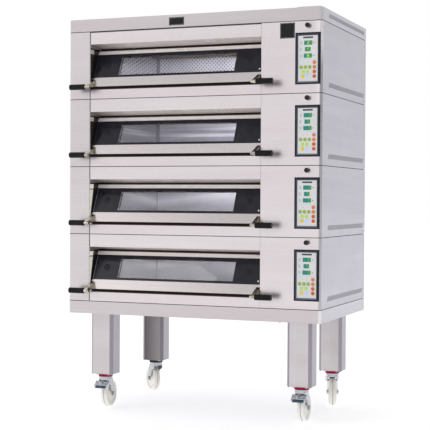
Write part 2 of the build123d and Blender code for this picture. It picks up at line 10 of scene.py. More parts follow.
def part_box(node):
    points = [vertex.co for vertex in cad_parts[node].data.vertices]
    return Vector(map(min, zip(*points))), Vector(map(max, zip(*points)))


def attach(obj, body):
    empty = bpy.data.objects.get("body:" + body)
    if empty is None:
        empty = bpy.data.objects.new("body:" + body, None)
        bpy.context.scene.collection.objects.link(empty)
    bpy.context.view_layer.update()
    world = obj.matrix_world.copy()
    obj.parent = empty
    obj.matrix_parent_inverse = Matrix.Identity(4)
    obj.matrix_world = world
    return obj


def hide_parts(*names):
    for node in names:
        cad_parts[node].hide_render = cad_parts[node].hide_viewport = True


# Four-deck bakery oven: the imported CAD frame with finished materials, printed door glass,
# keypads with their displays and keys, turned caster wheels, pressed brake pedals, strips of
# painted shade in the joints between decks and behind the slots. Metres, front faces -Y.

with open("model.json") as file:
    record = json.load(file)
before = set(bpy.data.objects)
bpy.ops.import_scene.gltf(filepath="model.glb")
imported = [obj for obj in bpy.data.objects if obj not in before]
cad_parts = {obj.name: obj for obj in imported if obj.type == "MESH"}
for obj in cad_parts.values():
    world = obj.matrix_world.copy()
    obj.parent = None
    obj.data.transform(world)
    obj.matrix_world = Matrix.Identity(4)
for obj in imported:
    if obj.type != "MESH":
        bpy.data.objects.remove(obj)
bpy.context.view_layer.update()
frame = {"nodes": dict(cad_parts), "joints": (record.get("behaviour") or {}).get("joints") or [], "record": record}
nodes = frame["nodes"]

DECKS = (1, 2, 3, 4)
PITCH = 0.36  # height of one deck
SEAM = 0.003  # joint between two decks
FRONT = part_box("deck_front_1")[0].y
DECK_Z = {k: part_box(f"deck_front_{k}")[0].z - SEAM / 2 for k in DECKS}

DOOR_LEAN, DOOR_RISE = 0.095, 0.198  # from a door's foot to its head: inward, up
LEAN = atan2(DOOR_LEAN, DOOR_RISE)
LEAF_L = hypot(DOOR_LEAN, DOOR_RISE)
HINGE_UP, HINGE_IN = 0.012, 0.014  # from a door's head to its hinge line
GLASS_LOW, GLASS_HIGH = 0.05465, 0.19824  # along the leaf, from its foot
GLASS_OUTER, GLASS_INNER = (0.0008, 0.0068), (0.020, 0.024)  # depths in the leaf
GASKET = (0.0242, 0.0250)  # depths of the gaskets beside the window
CAPS_IN = (0.075, 0.078)  # from the glass's left and right side
SCREW_IN, SCREW_UP = 0.017, 0.019  # from the glass's right side and foot
WINDOW_LEFT, WINDOW_RIGHT = 0.146, 0.156  # printed borders beside the window
WINDOW_FOOT, WINDOW_HEAD = 0.0135, 0.017  # and below and above it
STILE = 0.0303  # from the glass's side to the inner pane
OPEN_LEFT, OPEN_RIGHT = -0.582, 0.388  # the jambs
LINER_LEFT = -0.527  # inside of a chamber's left wall
LEG_LEFT, LEG_INNER = -0.611, -0.479  # the sides of a left leg

# Heights above a deck's foot
SILL_UP = 0.060
JAMB_LINE_UP, CHEEK_UP, JAMB_HEAD_UP, SOFFIT_UP = 0.240, 0.244, 0.267, 0.274
DOOR_FOOT_UP, DOOR_HEAD_UP = 0.129, 0.237  # top of the foot rail, foot of the head rail
SLOT_LOW_UP, SLOT_HIGH_UP = 0.031, 0.065

# Directions in a piece's own frame
AHEAD, ABOVE, BELOW = (0, -1, 0), (0, 0, 1), (0, 0, -1)
RIGHTWARD, LEFTWARD = (1, 0, 0), (-1, 0, 0)
RIGHT_BEVEL, LEFT_BEVEL = (0.7071, -0.7071, 0), (-0.7071, -0.7071, 0)

CASTERS = {"fl": 94.0, "fr": 92.0, "rl": 137.0, "rr": -72.0}  # the way each wheel trails
TRAIL, WHEEL_R = 0.045, 0.075  # from the swivel to the axle; wheel radius
WHEEL_STEPS, CORNER_STEPS = 72, 4  # facets of a wheel and of a plate's corner
MERGE = 1e-6  # points closer than this are one


# ---------- shader helpers
class Shader:
    """A node material with one Principled shader, built up by short calls."""

    def __init__(self, name, **sockets):
        self.material = bpy.data.materials.new(name)
        self.material.use_nodes = True
        self.tree = self.material.node_tree
        self.surface = self.tree.nodes["Principled BSDF"]
        for socket, value in sockets.items():
            self.set(socket.replace("_", " "), value)

    def set(self, socket, value):
        target = self.surface.inputs[socket]
        if isinstance(value, bpy.types.NodeSocket):
            self.tree.links.new(value, target)
        elif target.type == "RGBA":
            target.default_value = (*value, 1)
        else:
            target.default_value = value

    def add(self, kind, inputs=None, out=0, **settings):
        node = self.tree.nodes.new(kind)
        for key, value in settings.items():
            setattr(node, key, value)
        for key, value in (inputs or {}).items():
            if isinstance(value, bpy.types.NodeSocket):
                self.tree.links.new(value, node.inputs[key])
            elif isinstance(value, tuple) and node.inputs[key].type == "RGBA":
                node.inputs[key].default_value = (*value, 1)
            else:
                node.inputs[key].default_value = value
        return node.outputs[out]

    def place(self, scale=(1, 1, 1), shift=(0, 0, 0)):
        """Coordinates that stay with the piece, stretched by scale."""
        coords = self.add("ShaderNodeTexCoord", out="Object")
        return self.add("ShaderNodeMapping", {"Vector": coords, "Scale": scale, "Location": shift})

    def noise(self, vector, scale, detail=4.0, roughness=0.5):
        return self.add("ShaderNodeTexNoise", {"Vector": vector, "Scale": scale, "Detail": detail,
                                               "Roughness": roughness})

    def math(self, operation, a, b=0.0):
        return self.add("ShaderNodeMath", {0: a, 1: b}, operation=operation)

    def fit(self, value, low, high, to_low=0.0, to_high=1.0):
        return self.add("ShaderNodeMapRange", {"Value": value, "From Min": low, "From Max": high,
                                               "To Min": to_low, "To Max": to_high})

    def blend(self, factor, a, b, mode="MIX"):
        node = self.tree.nodes.new("ShaderNodeMix")
        node.data_type = "RGBA"
        node.blend_type = mode
        for key, value in (("Factor", factor), (6, a), (7, b)):
            socket = node.inputs[key]
            if isinstance(value, bpy.types.NodeSocket):
                self.tree.links.new(value, socket)
            else:
                socket.default_value = (*value, 1) if isinstance(value, tuple) else value
        return node.outputs[2]

    def ramp(self, value, low, high, a, b):
        """Colour a where the value is low, b where it is high."""
        return self.blend(self.fit(value, low, high), a, b)

    def bump(self, height, strength, distance):
        return self.add("ShaderNodeBump",
                        {"Height": height, "Strength": strength, "Distance": distance})

    def colour(self, value):
        self.set("Base Color", value)

    def rough(self, pattern, low, high):
        """Roughness that follows a noise pattern."""
        self.set("Roughness", self.fit(pattern, 0.3, 0.7, low, high))

    def grain(self, scale, detail, strength, distance):
        """A fine texture pressed into the surface."""
        self.set("Normal", self.bump(self.noise(self.place(), scale, detail), strength, distance))

    def axes(self):
        """The x, y and z of a point in the piece's own frame."""
        return self.split(self.add("ShaderNodeTexCoord", out="Object"))

    def split(self, vector):
        node = self.tree.nodes.new("ShaderNodeSeparateXYZ")
        self.tree.links.new(vector, node.inputs[0])
        return node.outputs

    def towards(self, direction, low=0.85, high=0.95):
        """1 on faces that point in a direction of the piece's own frame, otherwise 0."""
        normal = self.add("ShaderNodeTexCoord", out="Normal")
        dot = self.add("ShaderNodeVectorMath", {0: normal, 1: tuple(direction)}, "Value",
                       operation="DOT_PRODUCT")
        return self.fit(dot, low, high)

    def past(self, value, edge, width=0.001):
        """0 up to an edge, 1 just past it."""
        return self.fit(value, edge, edge + width)

    def short_of(self, value, edge, width=0.001):
        """1 up to an edge, 0 just past it."""
        return self.fit(value, edge, edge + width, 1.0, 0.0)

    def distance(self, a, b):
        return self.math("ABSOLUTE", self.math("SUBTRACT", a, b))

    def deck_level(self, z):
        """Height above the foot of the deck that a point belongs to."""
        return self.math("MODULO", self.math("SUBTRACT", z, DECK_Z[1]), PITCH)

    def both(self, a, b):
        return self.math("MULTIPLY", a, b)


def scaled(colour, factor, lift=0.0):
    """A colour made lighter or darker, kept within 1."""
    return tuple(min(1.0, factor * c + lift) for c in colour)


def brushed(name, tint, shade, rough=0.3, grain=(1.2, 1.2, 420.0), patch=None):
    """Brushed stainless steel: fine streaks along the sheet, soft bands and faint hand marks.

    patch takes the shader and its tone, sets what differs by place, and returns the tone.
    """
    s = Shader(name, Metallic=1.0)
    streaks = s.noise(s.place(grain), 1.0, 5.0, 0.62)
    bands = s.noise(s.place((0.9, 0.9, 14.0), (3.1, 1.7, 0.4)), 1.0, 3.0)
    clouds = s.noise(s.place((1, 1, 1), (5.0, 2.0, 7.0)), 2.6, 3.0)
    smudges = s.noise(s.place((1, 1, 1), (1.0, 9.0, 3.0)), 11.0, 5.0, 0.6)
    tone = s.ramp(bands, 0.35, 0.65, tint, shade)
    tone = s.blend(s.fit(streaks, 0.3, 0.7, 0.0, 0.14), tone, scaled(tint, 0.72))
    tone = s.blend(s.fit(clouds, 0.35, 0.7, 0.0, 0.22), tone, scaled(tint, 1.12))
    s.colour(patch(s, tone) if patch else tone)
    base_rough = s.fit(streaks, 0.25, 0.75, rough - 0.05, rough + 0.07)
    s.set("Roughness", s.math("ADD", base_rough, s.fit(smudges, 0.5, 0.75, 0.0, 0.05)))
    s.set("Normal", s.bump(streaks, 0.05, 0.0004))
    return s.material


def moulded(name, colour, rough, **sockets):
    """Moulded plastic with a fine grain and slightly uneven gloss."""
    s = Shader(name, **sockets)
    wide = s.noise(s.place(), 30.0)
    s.colour(s.ramp(wide, 0.3, 0.7, colour, scaled(colour, 1.25, 0.004)))
    s.rough(wide, rough - 0.05, rough + 0.07)
    s.grain(900.0, 3.0, 0.12, 0.0003)
    return s.material


def plated(name, colour, rough):
    """Bright plated steel with spangle and a little tarnish."""
    s = Shader(name, Metallic=1.0)
    spangle = s.add("ShaderNodeTexVoronoi", {"Vector": s.place(), "Scale": 160.0}, out="Color")
    tarnish = s.noise(s.place(), 38.0, 5.0, 0.65)
    tone = s.blend(0.10, colour, spangle, "MULTIPLY")
    s.colour(s.blend(s.fit(tarnish, 0.52, 0.8, 0.0, 0.6), tone, scaled(colour, 0.5)))
    s.set("Roughness", s.fit(tarnish, 0.3, 0.8, rough - 0.05, rough + 0.16))
    s.grain(220.0, 2.0, 0.08, 0.0004)
    return s.material


# ---------- materials
FRONT_STEEL = (0.680, 0.622, 0.637)
FRONT_PALE = (0.715, 0.668, 0.670)
# The side colours are a darker, cooler copy of the front steel: painted shade on the sides.
SIDE_STEEL = (0.520, 0.508, 0.562)
SIDE_PALE = (0.568, 0.556, 0.606)
SEAL_GLOW = (0.012, 0.009, 0.008)  # a painted warm glow on the door's foot and on its seal
UNLIT = (0.0, 0.0, 0.0)


def recess_patch(s, tone):
    """Satin soffits with painted shade at their left end, and the jambs with their cheek beside the door's head.

    The jambs are in painted dark shade beside the upper doors; beside the lower ones they are painted pale,
    with a painted glow, ahead of a gap in painted dark shade. The bevel at the right corner is in painted
    shade on the lower decks and has a painted highlight on the top one.
    """
    x, y, z = s.axes()
    level = s.deck_level(z)
    left_cover = s.fit(x, OPEN_LEFT - 0.003, OPEN_LEFT - 0.002, 0.10, 0.0)
    tone = s.blend(left_cover, tone, (0.05, 0.05, 0.05))
    # painted shade on the soffits, deepest at their left end
    soffit = s.towards(BELOW, 0.8, 0.9)
    under = s.blend(s.fit(x, OPEN_LEFT, OPEN_LEFT + 0.22), (0.26, 0.22, 0.21), (0.66, 0.60, 0.585))
    tone = s.blend(soffit, tone, under)
    # right bevel: painted shade on the lower decks, a painted highlight on the top one
    climb = s.fit(z, DECK_Z[4] + 0.13, DECK_Z[4] + 0.24)
    corner = s.blend(climb, (0.50, 0.485, 0.53), (1.0, 0.97, 0.98))
    tone = s.blend(s.towards(RIGHT_BEVEL), tone, corner)
    # painted highlight on the front beside the right bevel, on the upper decks
    upward = s.fit(z, DECK_Z[3] + 0.10, DECK_Z[4] + 0.10)
    edge = s.both(s.fit(x, 0.665, 0.700), s.both(s.towards(AHEAD), upward))
    tone = s.blend(s.both(edge, 0.75), tone, (0.86, 0.83, 0.82))

    # jambs: painted dark shade, or painted pale with a painted glow ahead of the lower doors
    beside = s.fit(s.distance(x, OPEN_LEFT), 0.0008, 0.0012, 1.0, 0.0)
    jamb = s.both(s.towards(RIGHTWARD), beside)
    upper = s.fit(z, DECK_Z[3] - 0.001, DECK_Z[3] + 0.001)
    door_depth = s.math("MULTIPLY", s.math("SUBTRACT", level, SILL_UP), DOOR_LEAN / DOOR_RISE)
    reach = s.math("DIVIDE", s.math("SUBTRACT", y, FRONT), door_depth)
    below_head = s.fit(level, JAMB_HEAD_UP - 0.001, JAMB_HEAD_UP + 0.001, 1.0, 0.0)
    ahead = s.both(s.fit(reach, 0.44, 0.48, 1.0, 0.0), below_head)
    line = s.fit(s.distance(level, JAMB_LINE_UP), 0.002, 0.003)
    pale = s.both(s.both(ahead, line), s.fit(upper, 0.0, 1.0, 1.0, 0.02))
    cheek = s.both(s.both(ahead, upper), s.fit(level, CHEEK_UP - 0.001, CHEEK_UP + 0.001, 0.0, 0.45))
    pale = s.math("MAXIMUM", pale, cheek)
    by_soffit = s.fit(level, SOFFIT_UP - 0.001, SOFFIT_UP + 0.001)
    dark = s.blend(by_soffit, (0.014, 0.012, 0.012), (0.36, 0.31, 0.295))
    tone = s.blend(jamb, tone, s.blend(pale, dark, (0.95, 0.92, 0.83)))
    s.set("Metallic", s.fit(s.math("MAXIMUM", soffit, jamb), 0.0, 1.0, 1.0, 0.12))
    # a faint painted warm glow on the sill's top, and a painted glow on the pale jambs
    sill = s.both(s.towards(ABOVE), s.short_of(level, SILL_UP, 0.002))
    glow = s.blend(sill, UNLIT, (0.052, 0.038, 0.035))
    s.set("Emission Color", s.blend(s.both(jamb, pale), glow, (1.0, 0.96, 0.86)))
    s.set("Emission Strength", 0.25)
    return tone


def door_patch(s, tone):
    """Satin head rail in painted light, foot rail in painted shade, the foot's underside in painted shade and
    glow.
    """
    _, _, z = s.axes()
    level = s.deck_level(z)
    ahead = s.towards((0, -cos(LEAN), sin(LEAN)), 0.9, 0.97)
    head = s.both(ahead, s.fit(level, DOOR_HEAD_UP - 0.001, DOOR_HEAD_UP + 0.001))
    foot = s.both(ahead, s.fit(level, DOOR_FOOT_UP + 0.001, DOOR_FOOT_UP - 0.001))
    lower = s.short_of(z, DECK_Z[3])
    # painted light on the head rail; painted shade on the foot rail, deepest on the lower decks
    tone = s.blend(head, tone, (0.97, 0.92, 0.89))
    tone = s.blend(s.both(foot, s.fit(lower, 0.0, 1.0, 0.25, 0.75)), tone, (0.52, 0.475, 0.48))
    s.set("Metallic", s.fit(head, 0.0, 1.0, 1.0, 0.30))
    # painted shade and a faint painted warm glow on the foot's underside
    under = s.towards((0, -sin(LEAN), -cos(LEAN)))
    s.set("Emission Color", s.blend(under, UNLIT, SEAL_GLOW))
    s.set("Emission Strength", 1.0)
    return s.blend(under, tone, (0.045, 0.035, 0.032))


def rear_left(s):
    """1 on the quarter of the stand that holds the rear left leg and caster."""
    x, y, _ = s.axes()
    return s.both(s.fit(y, 0.10, 0.11), s.fit(x, -0.10, -0.11))


def leg_patch(s, tone):
    """Painted shade: cooler on the sides, darker on the bevels and on the rear left leg, darkest at its left."""
    x = s.axes()[0]
    # painted shade on the sides and bevels, and on the rear left leg's front
    sides = s.math("MAXIMUM", s.towards(RIGHTWARD), s.towards(LEFTWARD))
    tone = s.blend(sides, tone, (0.385, 0.372, 0.408))
    bevels = s.math("MAXIMUM", s.towards(RIGHT_BEVEL), s.towards(LEFT_BEVEL))
    tone = s.blend(bevels, tone, (0.33, 0.295, 0.335))
    shade = s.both(s.towards(AHEAD, 0.5, 0.9), s.fit(x, LEG_LEFT, LEG_INNER, 1.0, 0.55))
    return s.blend(s.both(rear_left(s), shade), tone, (0.085, 0.075, 0.080))


steel_front = brushed("front_steel", FRONT_STEEL, FRONT_PALE, 0.28, patch=recess_patch)
steel_side = brushed("side_steel", SIDE_STEEL, SIDE_PALE, 0.34)
steel_door = brushed("door_steel", (0.69, 0.635, 0.64), (0.74, 0.69, 0.68), 0.27, patch=door_patch)
steel_leg = brushed("leg_steel", (0.555, 0.520, 0.530), (0.60, 0.567, 0.577), 0.30,
                    (420.0, 420.0, 1.2), leg_patch)


def shell_steel():
    """Hood and plinth: warm painted light on the sheets that face forward, cooler painted shade on the others."""
    s = Shader("shell_steel", Metallic=1.0)
    forward = s.towards(AHEAD, 0.4, 0.9)
    streaks = s.noise(s.place((1.2, 1.2, 420.0)), 1.0, 5.0, 0.62)
    bands = s.noise(s.place((0.9, 0.9, 14.0)), 1.0, 3.0)
    # painted light on the forward sheets
    lit_tone = s.ramp(bands, 0.35, 0.65, (0.575, 0.520, 0.535), (0.610, 0.565, 0.570))
    hood = s.fit(s.axes()[2], 1.0, 1.1)
    # painted shade: the hood a little darker
    lit_tone = s.blend(s.both(hood, 0.03), lit_tone, UNLIT)
    # painted shade on the sheets that don't face forward
    shaded_tone = s.ramp(bands, 0.35, 0.65, SIDE_STEEL, SIDE_PALE)
    tone = s.blend(forward, shaded_tone, lit_tone)
    # painted highlight on the right bevel
    tone = s.blend(s.towards(RIGHT_BEVEL), tone, (0.86, 0.83, 0.85))
    s.colour(s.blend(s.fit(streaks, 0.3, 0.7, 0.0, 0.2), tone, (0.45, 0.42, 0.44)))
    s.set("Roughness", s.fit(streaks, 0.25, 0.75, 0.25, 0.37))
    s.set("Normal", s.bump(streaks, 0.10, 0.0004))
    return s.material


def liner_steel():
    """Chamber steel: bluish, a soft band of painted light along its walls, painted shade in its rear corner.

    The top deck is perforated, the next one is streaked; all are dark where they face the door.
    """
    s = Shader("liner_steel", Metallic=0.75)
    x, y, z = s.axes()
    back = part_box("baking_chambers")[1].y
    level = s.deck_level(z)
    from_corner = s.math("ADD", s.distance(x, LINER_LEFT), s.math("SUBTRACT", back, y))
    clouds = s.noise(s.place(), 7.0, 5.0)
    tone = s.ramp(clouds, 0.35, 0.7, (0.39, 0.385, 0.405), (0.47, 0.465, 0.480))

    # painted light: a soft band along the walls
    crest = s.math("ADD", s.fit(from_corner, 0.0, 0.45, 0.0, 0.06), 0.165)
    gleam = s.fit(s.distance(level, crest), 0.0, 0.040, 0.70, 0.0)
    tone = s.blend(gleam, tone, (0.80, 0.79, 0.79))

    streaks = s.noise(s.place((0.8, 0.8, 34.0)), 1.0, 3.0)
    third = s.both(s.past(z, DECK_Z[3]), s.short_of(z, DECK_Z[4]))
    tone = s.blend(s.both(third, s.fit(streaks, 0.42, 0.56, 0.0, 0.85)), tone, (0.19, 0.18, 0.215))

    around = s.math("ADD", x, s.both(y, 0.42))
    across, along = s.math("ADD", around, z), s.math("SUBTRACT", around, z)
    flat = s.add("ShaderNodeCombineXYZ", {"X": across, "Y": along})
    cells = s.add("ShaderNodeTexVoronoi", {"Vector": flat, "Scale": 45.0, "Randomness": 0.0},
                  "Distance", voronoi_dimensions="2D")
    hole = s.fit(cells, 0.26, 0.36, 1.0, 0.0)
    fourth = s.past(z, DECK_Z[4] + 0.10)
    speckle = s.both(s.both(hole, fourth), s.fit(clouds, 0.32, 0.66, 0.40, 1.0))
    tone = s.blend(speckle, s.blend(fourth, tone, (0.62, 0.605, 0.63)), (0.14, 0.14, 0.165))

    # painted shade down the rear corner, wider on the upper decks
    wide_corner_shade = s.both(s.fit(from_corner, 0.014, 0.022, 0.85, 0.0), s.past(z, DECK_Z[3]))
    corner_shade = s.math("MAXIMUM", wide_corner_shade, s.fit(from_corner, 0.004, 0.007, 0.6, 0.0))
    tone = s.blend(corner_shade, tone, (0.10, 0.10, 0.14))
    outside = s.both(s.short_of(y, FRONT + 0.135), s.towards(AHEAD, 0.3, 0.5))
    s.colour(s.blend(outside, tone, (0.040, 0.026, 0.020)))
    s.rough(clouds, 0.30, 0.48)
    s.set("Normal", s.bump(s.noise(s.place((2.0, 2.0, 300.0)), 1.0), 0.12, 0.0005))
    return s.material


def stone():
    """Hearth stone: gritty and scorched in patches."""
    s = Shader("hearth_stone", Roughness=0.85)
    grit = s.noise(s.place(), 260.0, 6.0, 0.7)
    scorch = s.noise(s.place((1.0, 2.2, 1.0)), 5.0, 4.0)
    tone = s.ramp(grit, 0.35, 0.65, (0.60, 0.53, 0.43), (0.74, 0.68, 0.58))
    s.colour(s.blend(s.fit(scorch, 0.48, 0.75, 0.0, 0.6), tone, (0.30, 0.22, 0.15)))
    s.set("Normal", s.bump(grit, 0.5, 0.0012))
    return s.material


def element_sheath():
    """Heating element: oxidised steel sheath."""
    s = Shader("element_sheath", Metallic=0.8)
    scale = s.noise(s.place(), 90.0, 5.0)
    s.colour(s.ramp(scale, 0.35, 0.7, (0.30, 0.28, 0.29), (0.16, 0.13, 0.12)))
    s.rough(scale, 0.35, 0.6)
    s.set("Normal", s.bump(scale, 0.3, 0.0006))
    return s.material


def wool():
    """Mineral wool, in layers of fibres."""
    s = Shader("mineral_wool", Roughness=0.95, Sheen_Weight=0.3)
    fibres = s.noise(s.place((40.0, 40.0, 320.0)), 1.0, 6.0, 0.7)
    s.colour(s.ramp(fibres, 0.35, 0.65, (0.42, 0.38, 0.26), (0.58, 0.54, 0.40)))
    s.set("Normal", s.bump(fibres, 0.8, 0.004))
    return s.material


def board():
    """Circuit board: green lacquer with copper tracks."""
    s = Shader("board", Roughness=0.45)
    tracks = {"Vector": s.place(), "Scale": 90.0, "Mortar Size": 0.08, "Color1": (0.03, 0.17, 0.08),
              "Color2": (0.04, 0.21, 0.10), "Mortar": (0.25, 0.22, 0.08)}
    s.colour(s.add("ShaderNodeTexBrick", tracks))
    s.grain(400.0, 4.0, 0.15, 0.0003)
    return s.material


def black_glass():
    """The black border baked on the back of the glass: deep, even, glossy."""
    s = Shader("printed_border", Specular_IOR_Level=0.26)
    haze = s.noise(s.place(), 16.0)
    s.colour(s.ramp(haze, 0.35, 0.7, (0.011, 0.011, 0.017), (0.017, 0.017, 0.026)))
    s.rough(haze, 0.10, 0.20)
    s.grain(5.0, 2.0, 0.03, 0.001)
    return s.material


def clear_glass():
    """Clear glass with the slightest haze."""
    s = Shader("clear_glass", Transmission_Weight=1.0, IOR=1.45)
    haze = s.noise(s.place(), 22.0)
    s.colour(s.ramp(haze, 0.3, 0.7, (0.93, 0.94, 0.99), (0.97, 0.97, 1.0)))
    s.set("Roughness", s.fit(haze, 0.4, 0.8, 0.0, 0.03))
    return s.material


def polished():
    """Polished arms with brassy patches, a painted reflection of warm surroundings."""
    s = Shader("polished_arm", Metallic=1.0)
    patches = s.noise(s.place((1, 1, 2)), 34.0, 3.0)
    # brassy patches: painted reflection
    s.colour(s.ramp(patches, 0.4, 0.62, (0.62, 0.59, 0.52), (0.34, 0.31, 0.23)))
    s.rough(patches, 0.10, 0.22)
    s.grain(55.0, 2.0, 0.10, 0.001)
    return s.material


def phenolic(name, rough):
    """Black phenolic, semi-gloss, with a faint swirl from its mould."""
    s = Shader(name, Specular_IOR_Level=0.16)
    swirl = s.noise(s.place(), 60.0)
    s.colour(s.ramp(swirl, 0.35, 0.65, (0.003, 0.003, 0.004), (0.007, 0.006, 0.008)))
    s.rough(swirl, rough - 0.06, rough + 0.08)
    s.grain(700.0, 4.0, 0.10, 0.0003)
    return s.material


def knob_and_rod():
    """Phenolic on the knob, bright steel on its rod and gate plate behind the front."""
    s = Shader("knob_and_rod", Specular_IOR_Level=0.3)
    metal = s.fit(s.axes()[1], FRONT - 0.0021, FRONT - 0.0019)
    swirl = s.noise(s.place(), 60.0)
    black = s.ramp(swirl, 0.35, 0.65, (0.004, 0.003, 0.004), (0.010, 0.009, 0.010))
    s.colour(s.blend(metal, black, (0.55, 0.55, 0.56)))
    s.set("Metallic", metal)
    s.rough(swirl, 0.18, 0.30)
    s.set("Normal", s.bump(swirl, 0.05, 0.0005))
    return s.material


def anodised():
    """Black anodised plate, left blank; its bright border line is a piece of its own."""
    s = Shader("anodised_plate", Specular_IOR_Level=0.2)
    fine = s.noise(s.place((300.0, 1.0, 3.0)), 1.0)
    s.colour(s.ramp(fine, 0.3, 0.7, (0.006, 0.006, 0.008), (0.012, 0.012, 0.015)))
    s.rough(fine, 0.28, 0.42)
    s.set("Normal", s.bump(fine, 0.1, 0.0002))
    return s.material


def overlay():
    """White polyester overlay with a fine texture and faint greenish and pinkish tints."""
    s = Shader("keypad_overlay", Specular_IOR_Level=0.4)
    fine = s.noise(s.place(), 1500.0, 2.0)
    wide = s.noise(s.place(), 9.0, 2.0)
    s.colour(s.ramp(wide, 0.35, 0.65, (0.63, 0.655, 0.645), (0.695, 0.685, 0.70)))
    s.rough(fine, 0.30, 0.42)
    s.set("Normal", s.bump(fine, 0.15, 0.0002))
    return s.material


def nylon():
    """Cream nylon, faintly mottled, with specks of grime."""
    s = Shader("cream_nylon", Subsurface_Weight=0.15, Subsurface_Radius=(0.006, 0.005, 0.004),
               Subsurface_Scale=0.6)
    mottle = s.noise(s.place(), 24.0, 5.0)
    specks = s.noise(s.place(), 240.0, 3.0)
    tone = s.ramp(mottle, 0.35, 0.65, (0.86, 0.84, 0.78), (0.92, 0.91, 0.87))
    s.colour(s.blend(s.fit(specks, 0.62, 0.75, 0.0, 0.5), tone, (0.50, 0.47, 0.40)))
    s.rough(mottle, 0.32, 0.5)
    s.grain(320.0, 3.0, 0.15, 0.0006)
    return s.material


def seal_rings():
    """Dust seals: red on three casters, black on the rear left one."""
    s = Shader("dust_seal", Specular_IOR_Level=0.15)
    swirl = s.noise(s.place(), 70.0, 3.0)
    red = s.ramp(swirl, 0.35, 0.65, (0.30, 0.002, 0.030), (0.42, 0.005, 0.045))
    s.colour(s.blend(rear_left(s), red, (0.02, 0.02, 0.022)))
    s.rough(swirl, 0.25, 0.4)
    s.grain(500.0, 4.0, 0.1, 0.0003)
    return s.material


def bezel_plastic():
    """Black moulding whose bevelled mouth carries a steel-blue painted reflection, lightest along its foot."""
    s = Shader("bezel_plastic", Specular_IOR_Level=0.22)
    wide = s.noise(s.place(), 30.0)
    tone = s.ramp(wide, 0.3, 0.7, (0.007, 0.007, 0.012), (0.014, 0.014, 0.022))
    # painted reflection on the mouth's faces, lightest on the foot, which faces up
    for direction, colour in ((RIGHTWARD, (0.060, 0.072, 0.105)), (ABOVE, (0.165, 0.180, 0.220)),
                              (BELOW, (0.050, 0.055, 0.080))):
        tone = s.blend(s.towards(direction, 0.2, 0.5), tone, colour)
    s.colour(tone)
    s.rough(wide, 0.20, 0.32)
    s.grain(900.0, 3.0, 0.12, 0.0003)
    return s.material


def glowing(name, colour, strength):
    """A lit or lacquered print colour, faintly mottled."""
    s = Shader(name, Specular_IOR_Level=0.4, Emission_Strength=strength)
    cloud = s.noise(s.place(), 260.0, 2.0)
    tone = s.ramp(cloud, 0.35, 0.65, colour, scaled(colour, 1.18, 0.02))
    s.colour(tone)
    s.set("Emission Color", tone)
    s.rough(cloud, 0.25, 0.38)
    return s.material


zinc = plated("zinc_plate", (0.50, 0.52, 0.55), 0.13)
turned = plated("turned_steel", (0.62, 0.61, 0.60), 0.26)
print_black = black_glass()
glass_clear = clear_glass()
finishes = {
    "steel_side": steel_side,
    "steel_front": steel_front,
    "steel_shell": shell_steel(),
    "steel_leg": steel_leg,
    "door_steel": steel_door,
    "door_glass": glass_clear,
    "bracket_steel": polished(),
    "grip_plastic": phenolic("grip_phenolic", 0.33),
    "knob_plastic": knob_and_rod(),
    "bezel_plastic": bezel_plastic(),
    "keypad": overlay(),
    "board": board(),
    "plate_black": anodised(),
    "liner_steel": liner_steel(),
    "stone": stone(),
    "element": element_sheath(),
    "wool": wool(),
    # the seal glows faintly: painted warm light
    "seal_black": moulded("silicone_seal", (0.040, 0.028, 0.025), 0.55, Emission_Color=SEAL_GLOW,
                          Emission_Strength=1.0),
    "pin_steel": turned,
    "gland_plastic": moulded("gland_nylon", (0.02, 0.02, 0.022), 0.45),
    "zinc": zinc,
    "nylon": nylon(),
    "brake_blue": moulded("brake_paint", (0.035, 0.065, 0.11), 0.3, Metallic=0.3, Coat_Weight=0.4),
    "seal_red": seal_rings(),
}

for part in frame["record"]["subparts"]:
    mesh = nodes[part["node"]].data
    mesh.materials.clear()
    mesh.materials.append(finishes[part["material_slot"]])


# ---------- mesh helpers
def make_piece(name, bm, body, slot, *materials, smooth=False):
    """Turns a bmesh into a piece that rides on a body."""
    bmesh.ops.recalc_face_normals(bm, faces=bm.faces)
    mesh = bpy.data.meshes.new(name)
    bm.to_mesh(mesh)
    bm.free()
    for material in materials:
        mesh.materials.append(material)
    piece = bpy.data.objects.new(name, mesh)
    bpy.context.scene.collection.objects.link(piece)
    if smooth:
        mesh.shade_smooth()
        mesh.set_sharp_from_angle(angle=radians(35))
    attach(piece, body)
    return piece


def add_loops(bm, rings, caps=True):
    """Skins a list of equally long point rings into quads, with caps on its ends."""
    made = [[bm.verts.new(point) for point in ring] for ring in rings]
    count = len(made[0])
    for low, high in zip(made, made[1:]):
        for i in range(count):
            bm.faces.new((low[i], low[(i + 1) % count], high[(i + 1) % count], high[i]))
    if caps:
        bm.faces.new(made[0])
        bm.faces.new(list(reversed(made[-1])))


def add_bar(bm, place, outline, depths):
    """A flat-ended bar: outline is a list of (a, b), place(a, depth, b) gives each point."""
    add_loops(bm, [[place(a, depth, b) for a, b in outline] for depth in depths])


def box_outline(a0, a1, b0, b1):
    """The four corners of a rectangle."""
    return [(a0, b0), (a1, b0), (a1, b1), (a0, b1)]


def paint_from(bm, first, index):
    """Gives every face made since a count the material of an index."""
    for face in list(bm.faces)[first:]:
        face.material_index = index


def ring_points(centre, right, up, out, radius, height, count):
    """A circle of points round an axis, lifted along it."""
    return [centre + out * height + radius * (cos(a) * right + sin(a) * up)
            for a in (tau * i / count for i in range(count))]


def add_button(bm, centre, right, up, out, profile, count=32):
    """A round body on a face: profile is (radius, height) from its foot to its middle."""
    rings = [ring_points(centre, right, up, out, radius, height, count) for radius, height in profile]
    add_loops(bm, rings)


